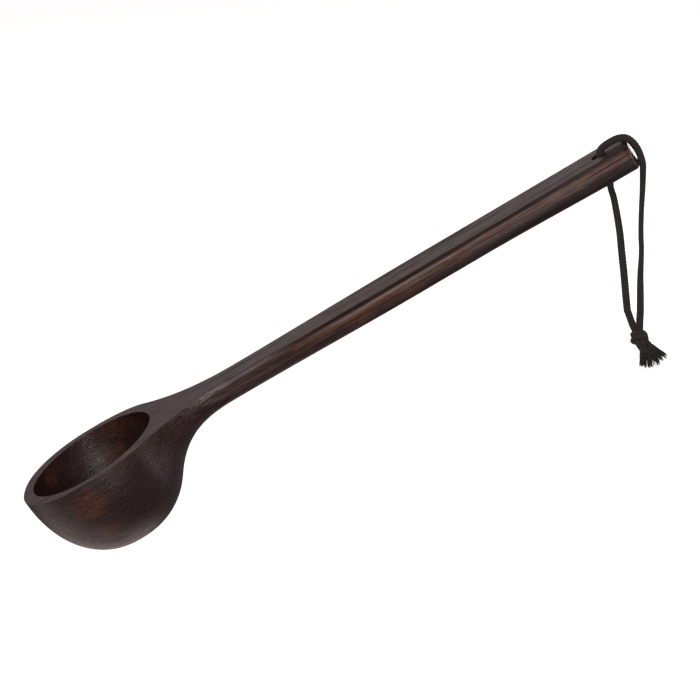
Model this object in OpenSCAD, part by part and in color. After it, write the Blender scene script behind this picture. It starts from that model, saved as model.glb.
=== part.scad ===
// Sauna ladle: bowl and handle carved from one piece of wood, with a braided
// cord loop through a hole near the handle end.
// Millimetres. +Z is up as the ladle is held, and +X runs toward the handle end.
// The origin is the middle of the handle's section where the hand holds it.
// The ladle is drawn level in its own axes, with x = 0 at the bowl's tip and
// z = 0 on the rim, and then tipped up by hold_tilt.

/* [Ladle] */
// Overall length, from the bowl's tip to the handle end
ladle_len = 402; // [340:1:480]
// Slope of the handle above the horizontal as the ladle is held
hold_tilt = 32; // [0:1:45]
// Where the hand holds the handle, measured from the bowl's tip
grip_at = 300; // [240:1:330]

/* [Bowl] */
// From the bowl's tip to its widest place
tip_len = 45; // [38:1:60]
// From the widest place to the heel that the bowl would have without a handle
heel_len = 50; // [42:1:65]
// Outer width of the bowl
bowl_w = 85; // [70:1:110]
// Outer depth of the bowl below the rim
bowl_d = 57; // [45:1:75]
// Squareness of the rim's outline, where 2 is an ellipse
rim_power = 2.25; // [2:0.05:3]
// Squareness of the bowl's side profile, where 2 is an ellipse
side_power = 2.2; // [2:0.05:3]
// Squareness of the bowl's cross-section, where 2 is an ellipse
bowl_power = 2.2; // [2:0.05:3]
// Width of the flat rim at the tip
rim_tip = 6.5; // [4:0.5:12]
// Width of the flat rim at each side
rim_side = 5.5; // [4:0.5:12]
// Thickness of wood between the opening and the bowl's heel
rim_heel = 9; // [6:0.5:16]
// Thickness of the bowl's floor
floor_t = 8; // [5:0.5:14]

/* [Neck] */
// From the widest place to where the sides start to draw in to the handle
neck_side_at = 35.5; // [30:0.5:40]
// Length over which the sides draw in
neck_side_len = 61.5; // [30:0.5:75]
// From the widest place to where the underside starts to sweep up
neck_under_at = 39; // [30:0.5:40]
// Length over which the underside sweeps up to the handle
neck_under_len = 54; // [35:0.5:75]
// Width of the handle at the neck
neck_w = 21; // [14:0.2:30]
// Thickness of the handle at the neck
neck_t = 14.2; // [10:0.2:22]

/* [Handle] */
// Width of the handle where the hand holds it
grip_w = 26; // [18:0.2:34]
// Thickness of the handle where the hand holds it
grip_t = 15; // [11:0.2:24]
// Width of the handle at its end
end_w = 26; // [18:0.2:34]
// Thickness of the handle at its end
end_t = 16.8; // [11:0.2:24]
// Squareness of the handle's rounded underside, where 2 is an ellipse
under_power = 3; // [2:0.1:5]
// Depth below the flat top at which the handle is widest
shoulder = 4.5; // [2:0.5:6]
// How far each edge of the flat top stands in from the handle's widest place
edge_in = 1; // [0:0.1:2.5]
// Rounding of the edges of the end face
end_round = 2.4; // [1:0.2:4]

/* [Hang hole] */
// Diameter of the hole for the cord, drilled from the flat top to the underside
hole_d = 7.8; // [5:0.1:10]
// Distance of the hole's axis from the end face
hole_from_end = 18; // [12:1:30]

/* [Cord] */
// Diameter of the braided cord
cord_d = 3.4; // [2:0.1:4]
// Diameter of the frayed ends at their tips
fray_d = 5; // [3:0.1:7]
// Width of the overhand knot, in the plane of the loop
knot_w = 11.5; // [8:0.5:15]
// Thickness of the overhand knot, across the loop
knot_t = 9; // [6:0.5:12]
// Height of the overhand knot
knot_h = 10; // [8:0.5:14]

/* [Hidden] */

wood = [0.27, 0.18, 0.16];
black = [0.13, 0.12, 0.12];
round_fn = 96;
cord_sides = 8;

// Steps of the loft along each stretch of the ladle, around its underside and up
// from its widest place to the flat top
tip_steps = 14;
heel_steps = 9;
neck_step = 3;
handle_step = 12;
end_steps = 4;
under_steps = 20;
shoulder_steps = 2;

// Depth of the bowl's outer edge that stands straight below the rim
rim_edge = 1;

// The stretch over the handle's end, in the ladle's own axes, measured from the
// top edge of the end face
over_end_route = [
    [-20, 0, -17.2], [-20, 0, -13], [-19.6, 0, -8.5], [-18.4, 0, -4.5], [-17, 0, -1.5],
    [-15.8, 0, 0.9], [-14, 0, 2.4], [-11.5, 0, 3], [-8, 0, 3.2], [-4.5, 0, 3], [-1.6, 0, 2.2],
    [0.8, 0, 0.6], [2.2, 0, -2], [2.9, 0, -5.4], [2.9, 0, -9.2], [2.2, 0, -13.2], [1.1, 0, -17]];

// The hanging stretches, in the row's own axes. The loop swings about the line
// that joins the gaps above their first points.
inner_leg_route = [
    [75, 0, 32], [76.8, 0, 26], [78.8, 0, 16], [80.6, 0, 5], [81.9, 0, -7],
    [83.2, 0, -18], [84.4, 0, -30], [85.6, 0, -41], [87.6, 0, -49.5], [89.4, 0, -54]];
outer_leg_route = [
    [92.8, 0, 43], [92.8, 0, 32], [92.4, 0, 18], [92.4, 0, 5], [92.9, 0, -6],
    [92.6, 0, -20], [92.8, 0, -32], [93, 0, -42], [92.8, 0, -52.5]];
inner_tail_route = [[94.5, 0, -60.5], [95, -0.5, -67], [95, -1, -74.5]];
outer_tail_route = [[96.5, 0, -60.5], [99.5, 0.5, -66], [103, 1, -71.5]];
knot_at = [92.5, 0, -57];

// Superellipse through 1 at t = 0 and 0 at t = 1, and its slope
function dome(t, p) = pow(1 - pow(min(abs(t), 1), p), 1 / p);
function dome_slope(t, p) = -pow(t, p - 1) * pow(1 - pow(t, p), 1 / p - 1);

// Cubic from height a with slope m, to height b with no slope, over a length
function sweep_in(t, len, a, m, b) =
    (2 * t * t * t - 3 * t * t + 1) * a + (t * t * t - 2 * t * t + t) * len * m
    + (3 * t * t - 2 * t * t * t) * b;

// Smooth change from a to b as x goes from x0 to x1
function ease(x, x0, x1, a, b) =
    let (t = min(max((x - x0) / (x1 - x0), 0), 1))
    a + (b - a) * t * t * (3 - 2 * t);

// Size of the handle alone at x, given its size at neck, grip and end
function handle_size(x, neck_end, neck, grip, end) =
    x < grip_at ? ease(x, neck_end, grip_at - 40, neck, grip)
                : ease(x, grip_at, ladle_len, grip, end);

// Bowl that draws in to a handle: size at x from the bowl's tip
function bowl_to_handle(x, bowl, power, at, len, neck, grip, end) =
    x < tip_len ? bowl * dome((tip_len - x) / tip_len, power)
    : x < tip_len + at ? bowl * dome((x - tip_len) / heel_len, power)
    : x < tip_len + at + len
        ? sweep_in((x - tip_len - at) / len, len,
                   bowl * dome(at / heel_len, power),
                   bowl / heel_len * dome_slope(at / heel_len, power), neck)
        : handle_size(x, tip_len + at + len, neck, grip, end);

function half_width(x) = bowl_to_handle(x, bowl_w / 2, rim_power, neck_side_at,
    neck_side_len, neck_w / 2, grip_w / 2, end_w / 2);
function depth(x) = bowl_to_handle(x, bowl_d, side_power, neck_under_at,
    neck_under_len, neck_t, grip_t, end_t);
function power(x) = ease(x, tip_len + neck_under_at, tip_len + neck_under_at
    + neck_under_len, bowl_power, under_power);

// Stations of the loft: [x, how far the section is drawn in at the end's rounding]
neck_from = tip_len + min(neck_side_at, neck_under_at);
neck_to = tip_len + max(neck_side_at + neck_side_len, neck_under_at + neck_under_len);
stations = concat(
    [for (i = [1 : tip_steps]) [tip_len * (1 - cos(90 * i / tip_steps)), 0]],
    [for (i = [1 : heel_steps]) [tip_len + (neck_from - tip_len) * sin(90 * i / heel_steps), 0]],
    [for (x = [neck_from + neck_step : neck_step : neck_to]) [x, 0]],
    [for (x = [neck_to + handle_step : handle_step : ladle_len - end_round - 6]) [x, 0]],
    [for (i = [0 : end_steps]) [ladle_len - end_round * (1 - sin(90 * i / end_steps)),
                                end_round * (1 - cos(90 * i / end_steps))]]);

// From the bowl's straight edge to the handle's shoulder
function to_shoulder(x, a, b) = ease(x, neck_from, neck_to, a, b);

// One section: from one top edge round the underside to the other
function section(s) =
    let (x = s[0], w = half_width(x) - s[1], p = 2 / power(x),
         sh = to_shoulder(x, rim_edge, shoulder), inset = to_shoulder(x, 0, edge_in),
         d = depth(x) - 2 * s[1] - sh, top = -s[1],
         side = [for (i = [0 : shoulder_steps - 1])
             let (t = 1 - i / shoulder_steps) [w - inset * t * t, top - sh * (1 - t)]])
    concat(
        [for (v = side) [x, -v[0], v[1]]],
        [for (i = [0 : under_steps])
            let (a = 180 * i / under_steps)
            [x, -w * sign(cos(a)) * pow(abs(cos(a)), p), top - sh - d * pow(sin(a), p)]],
        [for (i = [shoulder_steps - 1 : -1 : 0]) [x, side[i][0], side[i][1]]]);

// Skin over rings of equal length, closed by a point or a flat end at each side
module skin(rings, apex) {
    n = len(rings[0]);
    m = len(rings);
    points = concat([apex], [for (r = rings) each r]);
    fan = [for (j = [0 : n - 1]) [0, 1 + (j + 1) % n, 1 + j]];
    sides = [for (i = [0 : m - 2], j = [0 : n - 1])
        let (a = 1 + i * n + j, b = 1 + i * n + (j + 1) % n) each [[a, b, b + n], [a, b + n, a + n]]];
    cap = [[for (j = [0 : n - 1]) 1 + (m - 1) * n + j]];
    polyhedron(points, concat(fan, sides, cap));
}

// Directions along a route, and the rings of a tube swept along it
function unit(v) = v / norm(v);
function along(p, i) = unit(p[min(i + 1, len(p) - 1)] - p[max(i - 1, 0)]);
function ring(c, t, r) =
    let (u = unit(cross([0, 1, 0], t)), v = cross(t, u))
    [for (k = [0 : cord_sides - 1])
        let (a = 360 * (k + 0.5) / cord_sides) c + r * cos(a) * u + r * sin(a) * v];

module tube(route, d0, d1) {
    n = cord_sides;
    m = len(route);
    points = [for (i = [0 : m - 1])
        each ring(route[i], along(route, i), (d0 + (d1 - d0) * i / (m - 1)) / 2)];
    sides = [for (i = [0 : m - 2], j = [0 : n - 1])
        let (a = i * n + j, b = i * n + (j + 1) % n) each [[a, b + n, b], [a, a + n, b + n]]];
    start = [for (j = [0 : n - 1]) j];
    finish = [for (j = [n - 1 : -1 : 0]) (m - 1) * n + j];
    polyhedron(points, concat([start], sides, [finish]));
}

// The hollow of the bowl, open at the rim
module hollow() {
    length = tip_len + heel_len - rim_tip - rim_heel;
    translate([rim_tip + length / 2, 0, 0])
        scale([length / 2, bowl_w / 2 - rim_side, bowl_d - floor_t])
            sphere(r = 1, $fn = round_fn);
}

module hang_hole() {
    translate([ladle_len - hole_from_end, 0, -end_t - 5])
        cylinder(h = end_t + 10, d = hole_d, $fn = round_fn);
}

// Puts what is drawn in the ladle's own axes where the hand holds it
module held() {
    rotate([0, -hold_tilt, 0])
        translate([-grip_at, 0, grip_t / 2])
            children();
}

module ladle() {
    color(wood)
        held()
            difference() {
                skin([for (s = stations) section(s)], [0, 0, 0]);
                hollow();
                hang_hole();
            }
}

// The stretch that rides on the handle: up through the hole and over the end
module cord_over_end() {
    color(black)
        held()
            translate([ladle_len, 0, 0])
                tube(over_end_route, cord_d, cord_d);
}

module cord_inner_leg() {
    color(black) tube(inner_leg_route, cord_d, cord_d);
}

module cord_outer_leg() {
    color(black) tube(outer_leg_route, cord_d, cord_d);
}

module cord_knot() {
    color(black)
        translate(knot_at)
            scale([knot_w, knot_t, knot_h] / 2)
                sphere(r = 1, $fn = round_fn);
}

module cord_inner_tail() {
    color(black) tube(inner_tail_route, cord_d, fray_d);
}

module cord_outer_tail() {
    color(black) tube(outer_tail_route, cord_d, fray_d);
}

ladle();
cord_over_end();
cord_inner_leg();
cord_outer_leg();
cord_knot();
cord_inner_tail();
cord_outer_tail();
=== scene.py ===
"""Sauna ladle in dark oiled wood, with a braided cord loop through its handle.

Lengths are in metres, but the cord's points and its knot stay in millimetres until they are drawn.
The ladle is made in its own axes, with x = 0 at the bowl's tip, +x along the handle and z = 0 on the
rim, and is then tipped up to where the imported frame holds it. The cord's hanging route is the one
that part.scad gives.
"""

import math
import random

import bpy
import numpy as np
from mathutils import Matrix, Quaternion, Vector

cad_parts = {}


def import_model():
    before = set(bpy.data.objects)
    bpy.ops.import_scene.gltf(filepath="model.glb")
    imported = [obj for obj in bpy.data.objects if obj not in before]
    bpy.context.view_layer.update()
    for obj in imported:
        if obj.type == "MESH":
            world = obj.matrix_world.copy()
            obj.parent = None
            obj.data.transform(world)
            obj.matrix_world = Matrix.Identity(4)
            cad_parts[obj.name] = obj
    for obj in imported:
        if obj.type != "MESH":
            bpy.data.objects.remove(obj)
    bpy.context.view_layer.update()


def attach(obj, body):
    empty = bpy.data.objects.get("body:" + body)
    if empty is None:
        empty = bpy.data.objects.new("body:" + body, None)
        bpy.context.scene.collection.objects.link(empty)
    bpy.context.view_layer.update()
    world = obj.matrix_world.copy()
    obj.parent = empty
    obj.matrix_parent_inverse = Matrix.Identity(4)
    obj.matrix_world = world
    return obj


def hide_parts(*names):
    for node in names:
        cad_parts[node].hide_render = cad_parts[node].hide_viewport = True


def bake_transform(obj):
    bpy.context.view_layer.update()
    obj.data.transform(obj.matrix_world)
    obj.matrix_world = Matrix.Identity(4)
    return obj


MM = 0.001

# ---------------------------------------------------------------- the ladle's sizes, as in part.scad
LADLE_LEN = 402 * MM
HOLD_TILT = math.radians(32)
GRIP_AT = 300 * MM
TIP_LEN = 45 * MM
HEEL_LEN = 50 * MM
BOWL_W = 85 * MM
BOWL_D = 57 * MM
RIM_POWER = 2.25
SIDE_POWER = 2.2
BOWL_POWER = 2.2
RIM_TIP = 6.5 * MM
RIM_SIDE = 5.5 * MM
RIM_HEEL = 9 * MM
FLOOR_T = 8 * MM
NECK_SIDE_AT, NECK_SIDE_LEN = 35.5 * MM, 61.5 * MM
NECK_UNDER_AT, NECK_UNDER_LEN = 39 * MM, 54 * MM
NECK_W, NECK_T = 21 * MM, 14.2 * MM
GRIP_W, GRIP_T = 26 * MM, 15 * MM
END_W, END_T = 26 * MM, 16.8 * MM
UNDER_POWER = 3
SHOULDER, EDGE_IN = 4.5 * MM, 1 * MM
RIM_EDGE = 1 * MM
END_ROUND = 2.4 * MM
HOLE_D = 7.8 * MM
HOLE_FROM_END = 18 * MM
EDGE_ROUND = 0.7 * MM

# ---------------------------------------------------------------- the cord, as in part.scad
CORD_WIDE, CORD_THIN = 4.4 * MM, 3.0 * MM

# Over the handle's end, in the ladle's own axes, from the top edge of the end face
OVER_END = [
    (-20, 0, -17.2), (-20, 0, -13), (-19.6, 0, -8.5), (-18.4, 0, -4.5), (-17, 0, -1.5),
    (-15.8, 0, 0.9), (-14, 0, 2.4), (-11.5, 0, 3), (-8, 0, 3.2), (-4.5, 0, 3), (-1.6, 0, 2.2),
    (0.8, 0, 0.6), (2.2, 0, -2), (2.9, 0, -5.4), (2.9, 0, -9.2), (2.2, 0, -13.2), (1.1, 0, -17),
]
# Which of those points is inside the hole, where the cord's two halves start
IN_HOLE = 3
# The hanging stretches, in the row's axes, down to where they reach the knot
INNER_LEG = [
    (75, 0, 32), (76.8, 0, 26), (78.8, 0, 16), (80.6, 0, 5), (81.9, 0, -7), (83.2, 0, -18),
    (84.4, 0, -30),
]
OUTER_LEG = [
    (92.8, 0, 43), (92.8, 0, 32), (92.4, 0, 18), (92.4, 0, 5), (92.9, 0, -6), (92.6, 0, -20),
    (92.8, 0, -32),
]


def ladle_to_row():
    """The placement of the ladle's own axes in the row's axes."""
    return Matrix.Rotation(-HOLD_TILT, 4, "Y") @ Matrix.Translation((-GRIP_AT, 0, GRIP_T / 2))


# ---------------------------------------------------------------- camera, lights and floor
def look_at(obj, target):
    obj.rotation_mode = "QUATERNION"
    obj.rotation_quaternion = (Vector(target) - obj.location).to_track_quat("-Z", "Y")


CAMERA_ROLL = math.radians(-0.27)


def add_camera():
    """A long lens from in front and a little above, level from side to side."""
    target = ladle_to_row() @ Vector((205.5 * MM, 0, -24.8 * MM))
    azimuth, elevation, distance = math.radians(0.2), math.radians(21.5), 2.5
    back = Vector((
        math.sin(azimuth) * math.cos(elevation),
        -math.cos(azimuth) * math.cos(elevation),
        math.sin(elevation),
    ))
    data = bpy.data.cameras.new("camera")
    data.sensor_width = 36
    data.lens = 227
    data.clip_start, data.clip_end = 0.05, 50
    camera = bpy.data.objects.new("camera", data)
    bpy.context.scene.collection.objects.link(camera)
    camera.location = target + back * distance
    look_at(camera, target)
    camera.rotation_quaternion = camera.rotation_quaternion @ Quaternion((0, 0, 1), CAMERA_ROLL)
    bpy.context.scene.camera = camera


def add_area_light(name, place, target, size, power, colour=(1, 1, 1)):
    data = bpy.data.lights.new(name, "AREA")
    data.shape = "RECTANGLE"
    data.size, data.size_y = size
    data.energy = power
    data.color = colour
    light = bpy.data.objects.new(name, data)
    bpy.context.scene.collection.objects.link(light)
    light.location = place
    look_at(light, target)
    light.visible_camera = False


def add_studio():
    """Soft boxes in front, above and behind, over a pale floor that only the camera sees."""
    scene = bpy.context.scene
    scene.view_settings.view_transform = "Standard"
    world = bpy.data.worlds.new("studio")
    scene.world = world
    world.use_nodes = True
    background = world.node_tree.nodes["Background"]
    background.inputs["Color"].default_value = (1, 0.95, 0.95, 1)
    background.inputs["Strength"].default_value = 0.13

    warm = (1, 0.84, 0.83)
    add_area_light("key_softbox", (-0.7, -1.3, 1.7), (-0.05, 0, 0), (1.0, 0.8), 19, (1, 0.93, 0.91))
    add_area_light("front_softbox", (-0.15, -2.1, -0.12), (0, 0, 0), (0.9, 0.35), 6, warm)
    add_area_light("bowl_softbox", (-0.3, -1.9, 0.42), (-0.22, 0, -0.14), (0.35, 0.35), 9, warm)
    add_area_light("back_panel", (-0.7, 2.2, 0.55), (-0.1, 0, 0), (2.6, 1.2), 4.8, (1, 0.82, 0.81))
    add_area_light("right_panel", (1.9, -0.2, 0.1), (-0.1, 0, 0), (0.6, 1.2), 9, (1, 0.86, 0.86))
    add_area_light("end_panel", (0.8, 1.9, -0.27), (0.1, 0, 0.05), (0.5, 0.4), 6)
    add_area_light("low_panel", (-0.3, 0.05, -0.58), (-0.25, 0, -0.15), (0.8, 0.5), 0.95,
                   (1, 0.8, 0.79))

    bpy.ops.mesh.primitive_plane_add(size=60, location=(0, 0, -0.62))
    floor = bpy.context.object
    floor.name = "floor"
    floor.visible_glossy = False
    floor.visible_diffuse = False
    material = bpy.data.materials.new("pale_floor")
    material.use_nodes = True
    shader = material.node_tree.nodes["Principled BSDF"]
    shader.inputs["Base Color"].default_value = (0.9, 0.9, 0.9, 1)
    shader.inputs["Roughness"].default_value = 0.9
    shader.inputs["Emission Color"].default_value = (1, 1, 1, 1)
    shader.inputs["Emission Strength"].default_value = 0.8
    floor.data.materials.append(material)


# ---------------------------------------------------------------- the ladle's form
def dome(t, power):
    return (1 - np.minimum(np.abs(t), 1) ** power) ** (1 / power)


def dome_slope(t, power):
    return -(t ** (power - 1)) * (1 - t**power) ** (1 / power - 1)


def sweep_in(t, length, a, slope, b):
    """Cubic from a, with a slope, to b with none."""
    return (
        (2 * t**3 - 3 * t**2 + 1) * a
        + (t**3 - 2 * t**2 + t) * length * slope
        + (3 * t**2 - 2 * t**3) * b
    )


def ease(x, x0, x1, a, b):
    t = np.clip((x - x0) / (x1 - x0), 0, 1)
    return a + (b - a) * t * t * (3 - 2 * t)


def bowl_to_handle(x, bowl, power, at, length, neck, grip, end):
    """A size of the ladle at x: the bowl, drawn in along the neck to the handle."""
    neck_start = TIP_LEN + at
    neck_end = neck_start + length
    t = at / HEEL_LEN
    tip = bowl * dome((TIP_LEN - x) / TIP_LEN, power)
    heel = bowl * dome((x - TIP_LEN) / HEEL_LEN, power)
    neck_run = sweep_in(
        (x - neck_start) / length, length,
        bowl * dome(t, power), bowl / HEEL_LEN * dome_slope(t, power), neck,
    )
    handle = np.where(
        x < GRIP_AT,
        ease(x, neck_end, GRIP_AT - 40 * MM, neck, grip),
        ease(x, GRIP_AT, LADLE_LEN, grip, end),
    )
    return np.where(
        x < TIP_LEN, tip, np.where(x < neck_start, heel, np.where(x < neck_end, neck_run, handle))
    )


def half_width(x):
    return bowl_to_handle(x, BOWL_W / 2, RIM_POWER, NECK_SIDE_AT, NECK_SIDE_LEN,
                          NECK_W / 2, GRIP_W / 2, END_W / 2)


def depth(x):
    return bowl_to_handle(x, BOWL_D, SIDE_POWER, NECK_UNDER_AT, NECK_UNDER_LEN,
                          NECK_T, GRIP_T, END_T)


def under_power(x):
    start = TIP_LEN + NECK_UNDER_AT
    return ease(x, start, start + NECK_UNDER_LEN, BOWL_POWER, UNDER_POWER)


def to_shoulder(x, a, b):
    """From a on the bowl to b on the handle."""
    return ease(x, TIP_LEN + NECK_SIDE_AT, TIP_LEN + NECK_SIDE_AT + NECK_SIDE_LEN, a, b)


END_STEPS = 6


def stations():
    """Places of the loft's sections along the ladle, and how far each is drawn in at the end."""
    neck_start = TIP_LEN + NECK_SIDE_AT
    neck_end = neck_start + NECK_SIDE_LEN
    quarter = np.linspace(0, math.pi / 2, 41)[1:]
    end = np.linspace(0, math.pi / 2, END_STEPS + 1)
    x = np.concatenate([
        TIP_LEN * (1 - np.cos(quarter)),
        TIP_LEN + NECK_SIDE_AT * np.sin(quarter[1::2]),
        np.arange(neck_start + 1 * MM, neck_end, 1 * MM),
        np.arange(neck_end + 2 * MM, LADLE_LEN - END_ROUND - 2 * MM, 4 * MM),
        LADLE_LEN - END_ROUND * (1 - np.sin(end)),
    ])
    inset = np.zeros(len(x))
    inset[-len(end):] = END_ROUND * (1 - np.cos(end))
    return x, inset


def solid_ladle():
    """The outside of the ladle as one closed mesh: underside, flat top and end face."""
    x, inset = stations()
    around, up = 52, 6
    angle = np.linspace(0, math.pi, around + 1)
    p = 2 / under_power(x)[:, None]
    shoulder = to_shoulder(x, RIM_EDGE, SHOULDER)[:, None]
    edge_in = to_shoulder(x, 0, EDGE_IN)[:, None]
    w = (half_width(x) - inset)[:, None]
    d = (depth(x) - 2 * inset)[:, None] - shoulder
    top = -inset[:, None]
    t = (1 - np.arange(up) / up)[None]
    c, s = np.cos(angle)[None], np.clip(np.sin(angle), 0, 1)[None]
    side_y, side_z = w - edge_in * t**2, top - shoulder * (1 - t)
    y = np.hstack([-side_y, -w * np.sign(c) * np.abs(c) ** p, side_y[:, ::-1]])
    z = np.hstack([side_z, top - shoulder - d * s**p, side_z[:, ::-1]])
    steps = y.shape[1] - 1
    rows = np.stack([np.repeat(x[:, None], steps + 1, 1), y, z], -1)
    n, m = rows.shape[:2]
    points = [(0, 0, 0)] + [tuple(v) for v in rows.reshape(-1, 3)]

    def at(i, j):
        return 1 + i * m + j

    faces = [(0, at(0, j + 1), at(0, j)) for j in range(m - 1)]
    faces += [
        (at(i, j), at(i, j + 1), at(i + 1, j + 1), at(i + 1, j))
        for i in range(n - 1) for j in range(m - 1)
    ]
    flat = n - 1 - END_STEPS
    faces.append(tuple([0] + [at(i, 0) for i in range(flat + 1)]
                       + [at(i, m - 1) for i in range(flat, -1, -1)]))
    faces += [(at(i, 0), at(i + 1, 0), at(i + 1, m - 1), at(i, m - 1)) for i in range(flat, n - 1)]
    faces.append(tuple(at(n - 1, j) for j in range(m)))
    mesh = bpy.data.meshes.new("ladle_wood")
    mesh.from_pydata(points, [], faces)
    mesh.validate()
    obj = bpy.data.objects.new("ladle_wood", mesh)
    bpy.context.scene.collection.objects.link(obj)
    return obj


def apply_modifiers(obj):
    bpy.context.view_layer.update()
    evaluated = obj.evaluated_get(bpy.context.evaluated_depsgraph_get())
    obj.data = bpy.data.meshes.new_from_object(evaluated)
    obj.modifiers.clear()


def cut(obj, cutter):
    modifier = obj.modifiers.new("cut", "BOOLEAN")
    modifier.operation = "DIFFERENCE"
    modifier.solver = "EXACT"
    modifier.object = cutter
    apply_modifiers(obj)
    bpy.data.objects.remove(cutter)


def make_ladle(material):
    obj = solid_ladle()
    length = TIP_LEN + HEEL_LEN - RIM_TIP - RIM_HEEL
    bpy.ops.mesh.primitive_uv_sphere_add(segments=144, ring_count=96, radius=1,
                                         location=(RIM_TIP + length / 2, 0, 0))
    hollow = bpy.context.object
    hollow.scale = (length / 2, BOWL_W / 2 - RIM_SIDE, BOWL_D - FLOOR_T)
    cut(obj, hollow)
    bpy.ops.mesh.primitive_cylinder_add(vertices=48, radius=HOLE_D / 2, depth=60 * MM,
                                        location=(LADLE_LEN - HOLE_FROM_END, 0, 0))
    cut(obj, bpy.context.object)

    bevel = obj.modifiers.new("edges", "BEVEL")
    bevel.width = EDGE_ROUND
    bevel.segments = 3
    bevel.limit_method = "ANGLE"
    bevel.angle_limit = math.radians(40)
    bevel.use_clamp_overlap = True
    apply_modifiers(obj)
    obj.data.polygons.foreach_set("use_smooth", [True] * len(obj.data.polygons))
    weighted = obj.modifiers.new("normals", "WEIGHTED_NORMAL")
    weighted.keep_sharp = False
    weighted.weight = 80
    apply_modifiers(obj)

    obj.data.materials.clear()
    obj.data.materials.append(material)
    obj.matrix_world = ladle_to_row()
    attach(obj, "ladle")
    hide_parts("ladle")


# ---------------------------------------------------------------- materials
def new_material(name):
    material = bpy.data.materials.new(name)
    material.use_nodes = True
    nodes, links = material.node_tree.nodes, material.node_tree.links
    return material, nodes, links, nodes["Principled BSDF"]


def ramp(nodes, stops):
    node = nodes.new("ShaderNodeValToRGB")
    elements = node.color_ramp.elements
    while len(elements) < len(stops):
        elements.new(0.5)
    for element, (place, colour) in zip(elements, stops):
        element.position = place
        element.color = (*colour, 1)
    return node


# The wood's colours: its ground from dark to light, and what is laid over it in places, which is painted
# light and shade
GROUND_COLOURS = [
    (0.3, (0.0200, 0.0088, 0.0080)), (0.5, (0.0290, 0.0122, 0.0104)), (0.72, (0.0480, 0.0190, 0.0130)),
]
# Painted light: the orange figure, lighter where lit
LIT_ORANGE = (0.098, 0.033, 0.0125, 1)
# Painted highlight along the handle's near side
HIGHLIGHT_BROWN = (0.098, 0.046, 0.026, 1)
# Painted shade along the edge of the handle's top
EDGE_SHADE_BLACK = (0.012, 0.006, 0.006, 1)
# Painted shade low on the handle and on the bowl
SHADE_BROWN = (0.0150, 0.0080, 0.0078, 1)

# Places where the wood's orange figure is painted lighter, as if lit, in the ladle's own axes: middle and
# radius, in mm
LIT_FIGURE_PATCHES = [
    ((40, -42, -13), 15), ((39, -36, -34), 10), ((48, 34, -19), 13), ((56, 36, -3), 12),
    ((14, 18, -6), 8), ((20, 12, -14), 8), ((222, -12, -4), 14), ((258, -13, -4), 14),
    ((292, -13, -4), 11),
]


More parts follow.
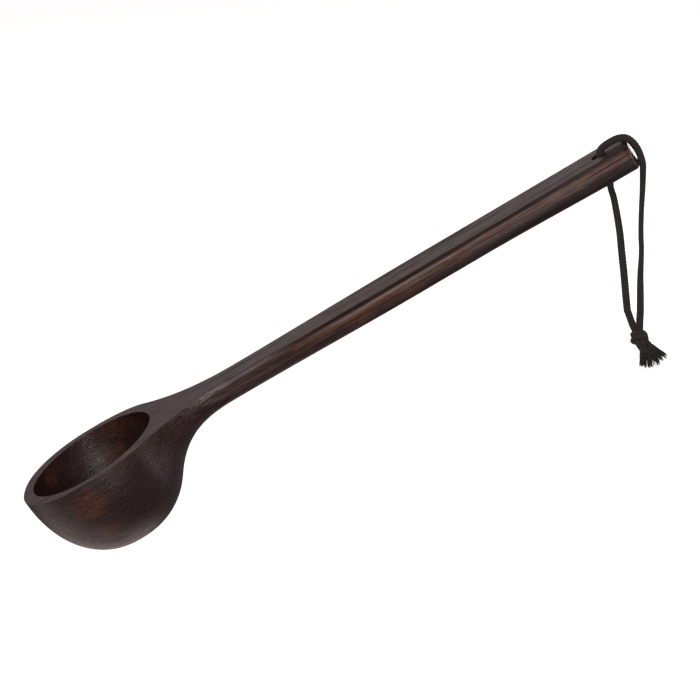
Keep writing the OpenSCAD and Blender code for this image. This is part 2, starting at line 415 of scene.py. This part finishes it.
def wood_material():
    """Dark heat-treated wood: fibres and pores that run along the handle, oiled to a satin, with painted
    light and shade laid over it in places.
    """
    material, nodes, links, shader = new_material("dark_oiled_wood")
    place = nodes.new("ShaderNodeTexCoord").outputs["Object"]

    def stretched(x, y, z):
        node = nodes.new("ShaderNodeMapping")
        node.inputs["Scale"].default_value = (x, y, z)
        links.new(place, node.inputs["Vector"])
        return node.outputs["Vector"]

    def noise(vector, detail, rough=0.55, distortion=0.0):
        node = nodes.new("ShaderNodeTexNoise")
        node.inputs["Scale"].default_value = 1
        node.inputs["Detail"].default_value = detail
        node.inputs["Roughness"].default_value = rough
        node.inputs["Distortion"].default_value = distortion
        links.new(vector, node.inputs["Vector"])
        return node.outputs["Fac"]

    def remap(value, low, high, to_low=0.0, to_high=1.0):
        node = nodes.new("ShaderNodeMapRange")
        node.interpolation_type = "SMOOTHSTEP"
        for name, number in (("From Min", low), ("From Max", high),
                             ("To Min", to_low), ("To Max", to_high)):
            node.inputs[name].default_value = number
        links.new(value, node.inputs["Value"])
        return node.outputs["Result"]

    def maths(kind, a, b):
        node = nodes.new("ShaderNodeMath")
        node.operation = kind
        for socket, value in zip(node.inputs, (a, b)):
            if isinstance(value, (int, float)):
                socket.default_value = value
            else:
                links.new(value, socket)
        return node.outputs["Value"]

    def mix(kind, factor, a, b):
        node = nodes.new("ShaderNodeMix")
        node.data_type = "RGBA"
        node.blend_type = kind
        for socket, value in ((0, factor), (6, a), (7, b)):
            if isinstance(value, (int, float, tuple)):
                node.inputs[socket].default_value = value
            else:
                links.new(value, node.inputs[socket])
        return node.outputs[2]

    def near(middle, full, none, most=1.0):
        """Most out to the full radius round a place, and nothing past the other one."""
        away = nodes.new("ShaderNodeVectorMath")
        away.operation = "DISTANCE"
        links.new(place, away.inputs[0])
        away.inputs[1].default_value = [c * MM for c in middle]
        return remap(away.outputs["Value"], none * MM, full * MM, 0, most)

    # Slow change from near black to red brown, drawn out along the grain
    bands = ramp(nodes, GROUND_COLOURS)
    links.new(noise(stretched(16, 70, 70), 4, 0.6, 0.4), bands.inputs["Fac"])

    # Painted light: the wood's orange figure made lighter in a few places, as if lit, broken up into
    # specks
    lit_figure = None
    for middle, radius in LIT_FIGURE_PATCHES:
        patch = near(middle, 0.25 * radius, radius)
        lit_figure = patch if lit_figure is None else maths("MAXIMUM", lit_figure, patch)
    specks = remap(noise(stretched(330, 700, 700), 5, 0.7), 0.44, 0.62)
    lit_figure = maths("MULTIPLY", lit_figure, maths("ADD", maths("MULTIPLY", specks, 0.7), 0.3))
    colour = mix("MIX", lit_figure, bands.outputs["Color"], LIT_ORANGE)

    # A painted highlight band along the handle's near side, just below the edge of the flat top
    axes = nodes.new("ShaderNodeSeparateXYZ")
    links.new(place, axes.inputs[0])
    highlight_band = maths("MULTIPLY", remap(axes.outputs["Z"], -8 * MM, -5 * MM),
                   remap(axes.outputs["Y"], -9 * MM, -12 * MM))
    highlight_band = maths("MULTIPLY", highlight_band, remap(axes.outputs["X"], 110 * MM, 215 * MM, 0, 0.85))
    colour = mix("MIX", highlight_band, colour, HIGHLIGHT_BROWN)
    # A painted dark line of shade above it, along the edge itself, where the shine is also turned down
    line = maths("MULTIPLY", remap(axes.outputs["Z"], -2.6 * MM, -1.4 * MM),
                 remap(axes.outputs["Y"], -9.5 * MM, -11.5 * MM))
    line = maths("MULTIPLY", line, remap(axes.outputs["X"], 130 * MM, 200 * MM, 0, 0.8))
    colour = mix("MIX", line, colour, EDGE_SHADE_BLACK)

    # Painted shade low on the handle's right half, and in the middle of the bowl's near side
    low = maths("MULTIPLY", remap(axes.outputs["Z"], -6.5 * MM, -9 * MM),
                remap(axes.outputs["X"], 240 * MM, 320 * MM, 0, 0.7))
    dark = maths("MAXIMUM", low, near((66, -36, -22), 10, 28, most=0.6))
    colour = mix("MIX", dark, colour, SHADE_BROWN)

    # Fibres, and the dark pores between them
    fibres = ramp(nodes, [(0.34, (0.48, 0.45, 0.45)), (0.66, (1.42, 1.36, 1.34))])
    links.new(noise(stretched(28, 950, 950), 5, 0.65), fibres.inputs["Fac"])
    colour = mix("MULTIPLY", 1.0, colour, fibres.outputs["Color"])
    pores = nodes.new("ShaderNodeTexVoronoi")
    pores.inputs["Scale"].default_value = 1
    links.new(stretched(130, 1500, 1500), pores.inputs["Vector"])
    dots = ramp(nodes, [(0.10, (0.35, 0.33, 0.33)), (0.40, (1, 1, 1))])
    links.new(pores.outputs["Distance"], dots.inputs["Fac"])
    colour = mix("MULTIPLY", 0.75, colour, dots.outputs["Color"])
    links.new(colour, shader.inputs["Base Color"])

    # Worn fibres are duller than the oiled ones
    gloss = maths("ADD", remap(noise(stretched(40, 700, 700), 5, 0.6), 0.3, 0.7, 0.25, 0.45),
                  remap(noise(stretched(60, 90, 90), 3), 0.35, 0.7, 0, 0.08))
    links.new(gloss, shader.inputs["Roughness"])
    streaks = remap(noise(stretched(9, 420, 420), 5, 0.7), 0.4, 0.6, -0.36, 0.46)
    streaks = maths("MULTIPLY", streaks, remap(axes.outputs["X"], 70 * MM, 150 * MM, 0.12, 1))
    links.new(maths("MULTIPLY", maths("ADD", streaks, 0.48), maths("SUBTRACT", 1, line)),
              shader.inputs["Specular IOR Level"])
    shader.inputs["Coat Weight"].default_value = 0.08
    shader.inputs["Coat Roughness"].default_value = 0.3

    height = mix("MULTIPLY", 0.8, fibres.outputs["Color"], dots.outputs["Color"])
    bump = nodes.new("ShaderNodeBump")
    bump.inputs["Strength"].default_value = 0.4
    bump.inputs["Distance"].default_value = 0.00025
    links.new(height, bump.inputs["Height"])
    links.new(bump.outputs["Normal"], shader.inputs["Normal"])
    return material


def cord_material():
    """Black braided cord, matt, with paler worn fibres scattered over it by noise."""
    material, nodes, links, shader = new_material("black_braid")
    place = nodes.new("ShaderNodeTexCoord").outputs["Object"]
    fuzz = nodes.new("ShaderNodeTexNoise")
    fuzz.inputs["Scale"].default_value = 2600
    fuzz.inputs["Detail"].default_value = 3
    links.new(place, fuzz.inputs["Vector"])
    tint = ramp(nodes, [(0.3, (0.0130, 0.0115, 0.0112)), (0.7, (0.0520, 0.0460, 0.0450))])
    links.new(fuzz.outputs["Fac"], tint.inputs["Fac"])
    links.new(tint.outputs["Color"], shader.inputs["Base Color"])
    shader.inputs["Roughness"].default_value = 0.8
    shader.inputs["Specular IOR Level"].default_value = 0.2
    shader.inputs["Sheen Weight"].default_value = 0.08
    shader.inputs["Sheen Roughness"].default_value = 0.5
    bump = nodes.new("ShaderNodeBump")
    bump.inputs["Strength"].default_value = 0.4
    bump.inputs["Distance"].default_value = 0.0002
    links.new(fuzz.outputs["Fac"], bump.inputs["Height"])
    links.new(bump.outputs["Normal"], shader.inputs["Normal"])
    return material


# ---------------------------------------------------------------- the cord
def smooth_route(points, step):
    """Points about a step apart on a smooth curve through the given ones."""
    p = np.array(points, float)
    p = np.vstack([2 * p[0] - p[1], p, 2 * p[-1] - p[-2]])
    t = np.linspace(0, 1, 24, endpoint=False)[:, None]
    fine = []
    for a, b, c, d in zip(p, p[1:], p[2:], p[3:]):
        fine.append(0.5 * (2 * b + (c - a) * t + (2 * a - 5 * b + 4 * c - d) * t**2
                           + (3 * b - a - 3 * c + d) * t**3))
    fine = np.vstack(fine + [p[-2:-1]])
    run = np.concatenate([[0], np.cumsum(np.linalg.norm(np.diff(fine, axis=0), axis=1))])
    even = np.linspace(0, run[-1], max(2, round(run[-1] / step)) + 1)
    return np.stack([np.interp(even, run, fine[:, k]) for k in range(3)], 1)


def frames(path, side=(0, 1, 0)):
    """A tangent and two normals at each point, carried along without twist."""
    tangent = np.gradient(path, axis=0)
    tangent /= np.linalg.norm(tangent, axis=1)[:, None]
    normal = np.zeros_like(path)
    v = np.array(side, float)
    for i, t in enumerate(tangent):
        v = v - t * (v @ t)
        v /= np.linalg.norm(v)
        normal[i] = v
    return tangent, normal, np.cross(tangent, normal)


def braid_relief(angle, run, strands=8, pitch=7.5 * MM):
    """Height of a tubular braid, from 0 between its strands to 1 on their crowns."""
    p = strands / 2 * angle + 2 * math.pi * run / pitch * 2
    q = strands / 2 * angle - 2 * math.pi * run / pitch * 2
    first = (np.floor(p / math.pi) + np.floor(q / math.pi)) % 2 == 0
    across = np.where(first, np.abs(np.sin(p)), np.abs(np.sin(q)))
    along = np.where(first, np.abs(np.sin(q)), np.abs(np.sin(p)))
    return across**0.6 * (0.55 + 0.45 * along)


def mesh_object(name, points, faces, material):
    mesh = bpy.data.meshes.new(name)
    mesh.from_pydata([tuple(p) for p in points], [], faces)
    mesh.polygons.foreach_set("use_smooth", [True] * len(mesh.polygons))
    mesh.materials.append(material)
    obj = bpy.data.objects.new(name, mesh)
    bpy.context.scene.collection.objects.link(obj)
    return obj


def braided_tube(name, path, turn, squeeze, material, sides=40, relief=0.28 * MM):
    """A braided cord along a path. turn is the angle of its wide side, squeeze its share of full size."""
    _, u, v = frames(path)
    run = np.concatenate([[0], np.cumsum(np.linalg.norm(np.diff(path, axis=0), axis=1))])
    angle = np.linspace(0, 2 * math.pi, sides, endpoint=False)
    wide, thin = CORD_WIDE / 2, CORD_THIN / 2
    radius = wide * thin / np.hypot(thin * np.cos(angle), wide * np.sin(angle))
    radius = radius[None] * squeeze[:, None]
    radius = radius - relief * (1 - braid_relief(angle[None], run[:, None]))
    a = angle[None] + turn[:, None]
    points = (path[:, None] + radius[..., None] * (np.cos(a)[..., None] * u[:, None]
                                                   + np.sin(a)[..., None] * v[:, None]))
    n = len(path)
    faces = [
        (i * sides + j, i * sides + (j + 1) % sides, (i + 1) * sides + (j + 1) % sides,
         (i + 1) * sides + j)
        for i in range(n - 1) for j in range(sides)
    ]
    faces.append(tuple(range(sides - 1, -1, -1)))
    faces.append(tuple((n - 1) * sides + j for j in range(sides)))
    return mesh_object(name, points.reshape(-1, 3), faces, material)


# The overhand knot, in millimetres: its middle, how far apart its strands lie when drawn tight, the
# height below which the cord is squeezed, to what share of its size, and where the strands come in
# and go out
KNOT_MIDDLE = np.array((92.6, 0, -57.2))
KNOT_APART = 2.45
KNOT_TOP = -53
KNOT_SQUEEZE = 0.8
KNOT_IN = [[(85.6, 0, -41), (86.7, 0, -46)], [(93, 0, -42), (92.9, 0, -47)]]
KNOT_OUT = [[(95.1, -0.3, -61.6), (95.0, -0.5, -64.5)], [(97.2, 0.3, -61.6), (98.6, 0.5, -64)]]


def loose_overhand(size=2.2, start=1.62, finish=2 * math.pi + 0.25, turn=math.radians(30)):
    """The middle line of a loose overhand knot: most of a trefoil, open at its upper right."""
    t = np.linspace(start, finish, 26)
    x, z = np.sin(t) + 2 * np.sin(2 * t), np.cos(t) - 2 * np.cos(2 * t)
    return smooth_route(np.stack([
        size * (x * math.cos(turn) - z * math.sin(turn)),
        -size * np.sin(3 * t),
        size * (x * math.sin(turn) + z * math.cos(turn)),
    ], 1), 1.0)


def draw_tight(strands, apart, rounds=300, step=0.8, pull=0.5, give=0.2, most=0.25):
    """Strands drawn tight round each other, pushed apart where they come closer than a distance.

    Each round pulls every point toward its neighbours' middle and then pushes it, by at most a
    small move, off the points it has come too close to. Points less than own_run apart on one
    strand don't push each other. The ends stay in place.
    """
    even_out_each = 20
    own_run = 1.7 * apart
    for k in range(rounds):
        if k % even_out_each == 0:
            strands = [smooth_route(s, step) for s in strands]
            strand = np.concatenate([[i] * len(s) for i, s in enumerate(strands)])
            index = np.concatenate([np.arange(len(s)) for s in strands])
            beside = ((strand[:, None] == strand)
                      & (np.abs(index[:, None] - index) * step < own_run))
            ends = np.concatenate([(np.arange(len(s)) < 2) | (np.arange(len(s)) >= len(s) - 2)
                                   for s in strands])
        for s in strands:
            s[1:-1] += pull * ((s[:-2] + s[2:]) / 2 - s[1:-1])
        p = np.vstack(strands)
        away = p[:, None] - p
        gap = np.linalg.norm(away, axis=2) + 1e-9
        push = np.where(beside, 0, np.clip(apart - gap, 0, None)) / gap
        move = give * (push[..., None] * away).sum(1)
        move *= np.minimum(1, most / (np.linalg.norm(move, axis=1)[:, None] + 1e-9))
        move[ends] = 0
        strands = np.split(p + move, np.cumsum([len(s) for s in strands])[:-1])
        strands = [s.copy() for s in strands]
    return strands


def knot_strands(off_middle=1.4):
    """The two strands side by side through the knot, in millimetres in the row's axes."""
    middle = loose_overhand()
    _, u, _ = frames(middle, side=(1, 0, 0))
    pair = [
        np.vstack([start, middle + sign * off_middle * u + KNOT_MIDDLE, finish])
        for sign, start, finish in zip((-1, 1), KNOT_IN, KNOT_OUT)
    ]
    return draw_tight(pair, KNOT_APART)


# A frayed end's yarns, in millimetres: the radius at their roots, how far they swing from side to
# side and a loose thread's radius. The brush is flatter from front to back than from side to side.
YARN_RADIUS = (0.18, 0.28)
YARN_SWING = (0.08, 0.3)
THREAD_RADIUS = 0.15
BRUSH_FLAT = 0.7
YARN_SIDES = 5
LOOSE_THREAD = [
    (93.9, -1, -64.6), (92.8, -1.2, -65.6), (92.4, -1.2, -67.2), (93, -1, -68.4), (94, -0.8, -68.2),
]


def frayed_end(name, start, along, root, spread, length, count, seed, material, sag=0.0,
               loose=()):
    """A brush of fine yarns that opens out from a cord's end, each one thinner toward its tip."""
    draw = random.Random(seed)
    start, along = np.array(start) * MM, np.array(along, float)
    along /= np.linalg.norm(along)
    side = np.array([along[2], 0, -along[0]])
    depth_way = np.cross(along, side)
    t = np.linspace(0, 1, 9)[:, None]
    yarns = []
    for _ in range(count):
        angle, share = draw.uniform(0, 2 * math.pi), math.sqrt(draw.random())
        out = np.array([math.cos(angle), math.sin(angle)]) * share
        lean = spread * (out + np.array([draw.gauss(0, 0.06), draw.gauss(0, 0.10)]))
        waves = [draw.uniform(0, 2 * math.pi) for _ in range(2)]
        swing = draw.uniform(*YARN_SWING) * MM
        reach = length * MM * draw.uniform(0.9, 1.02)
        reach /= math.hypot(1, lean[0], BRUSH_FLAT * lean[1])
        line = start + root * MM * (out[0] * side + 0.8 * out[1] * depth_way)
        line = line + reach * (t * along
                               + t * (lean[0] * side + BRUSH_FLAT * lean[1] * depth_way))
        line = line + reach * t**2 * np.array((0, 0, -sag))
        line = line + swing * t * (np.sin(7 * t + waves[0]) * side
                                   + np.sin(6 * t + waves[1]) * depth_way)
        yarns.append((line, draw.uniform(*YARN_RADIUS) * MM))
    for thread in loose:
        yarns.append((smooth_route(thread, 0.4) * MM, THREAD_RADIUS * MM))

    points, faces, sides = [], [], YARN_SIDES
    turn = np.linspace(0, 2 * math.pi, sides, endpoint=False)[None, :, None]
    for line, root_radius in yarns:
        _, u, v = frames(line)
        rings = len(line)
        radius = root_radius * (1 - 0.5 * np.linspace(0, 1, rings)[:, None, None] ** 3)
        ring = line[:, None] + radius * (np.cos(turn) * u[:, None] + np.sin(turn) * v[:, None])
        base = len(points)
        points += list(ring.reshape(-1, 3))
        faces += [
            (base + i * sides + j, base + i * sides + (j + 1) % sides,
             base + (i + 1) * sides + (j + 1) % sides, base + (i + 1) * sides + j)
            for i in range(rings - 1) for j in range(sides)
        ]
        faces.append(tuple(base + j for j in range(sides - 1, -1, -1)))
        faces.append(tuple(base + (rings - 1) * sides + j for j in range(sides)))
    obj = mesh_object(name, points, faces, material)
    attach(obj, "cord_loop")
    return obj


# How far each half is turned about its middle line, in degrees, at places along it in millimetres:
# 90 degrees shows its wide side in front
INNER_TURNS = [(0, 60), (18, 50), (45, 70), (60, 90), (400, 90)]
OUTER_TURNS = [
    (0, 60), (10, 90), (30, 80), (50, 45), (70, 20), (95, 20), (115, 60), (130, 80), (400, 80),
]
# The step of each half's middle line, in millimetres
PATH_STEP = 0.3


def make_cord(name, route, turn_stops, nodes, material):
    """One half of the cord, from inside the hole to its frayed end."""
    path = smooth_route(route, PATH_STEP) * MM
    run = np.concatenate([[0], np.cumsum(np.linalg.norm(np.diff(path, axis=0), axis=1))])
    places, turns = zip(*turn_stops)
    turn = np.radians(np.interp(run / MM, places, turns))
    knot_run = [r for r, p in zip(run, path) if p[2] < KNOT_TOP * MM][0]
    squeeze = ease(run, knot_run - 2 * MM, knot_run + 3 * MM, 1, KNOT_SQUEEZE)
    cord = braided_tube(name, path, turn, squeeze, material)
    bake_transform(cord)
    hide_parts(*nodes)


def make_cords(material):
    over = [tuple((ladle_to_row() @ (Vector(p) * MM + Vector((LADLE_LEN, 0, 0)))) / MM)
            for p in OVER_END]
    first, second = ([tuple(p) for p in strand] for strand in knot_strands())
    left = frayed_end("frayed_end_left", start=(95.1, -0.3, -61.8), along=(-0.02, -0.04, -1),
                      root=1.6, spread=0.05, length=13, count=70, seed=3, material=material,
                      loose=[LOOSE_THREAD])
    right = frayed_end("frayed_end_right", start=(97, 0.3, -61.8), along=(0.42, 0.05, -0.85),
                       root=2.0, spread=0.58, length=12.4, count=230, seed=8, material=material,
                       sag=0.12)
    make_cord("cord_inner", over[IN_HOLE::-1] + INNER_LEG + first,
              INNER_TURNS, ("cord_inner_leg", "cord_inner_tail", "cord_knot"), material)
    make_cord("cord_outer", over[IN_HOLE:] + OUTER_LEG + second,
              OUTER_TURNS, ("cord_over_end", "cord_outer_leg", "cord_outer_tail"), material)


def main():
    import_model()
    add_camera()
    add_studio()
    make_cords(cord_material())
    make_ladle(wood_material())


main()
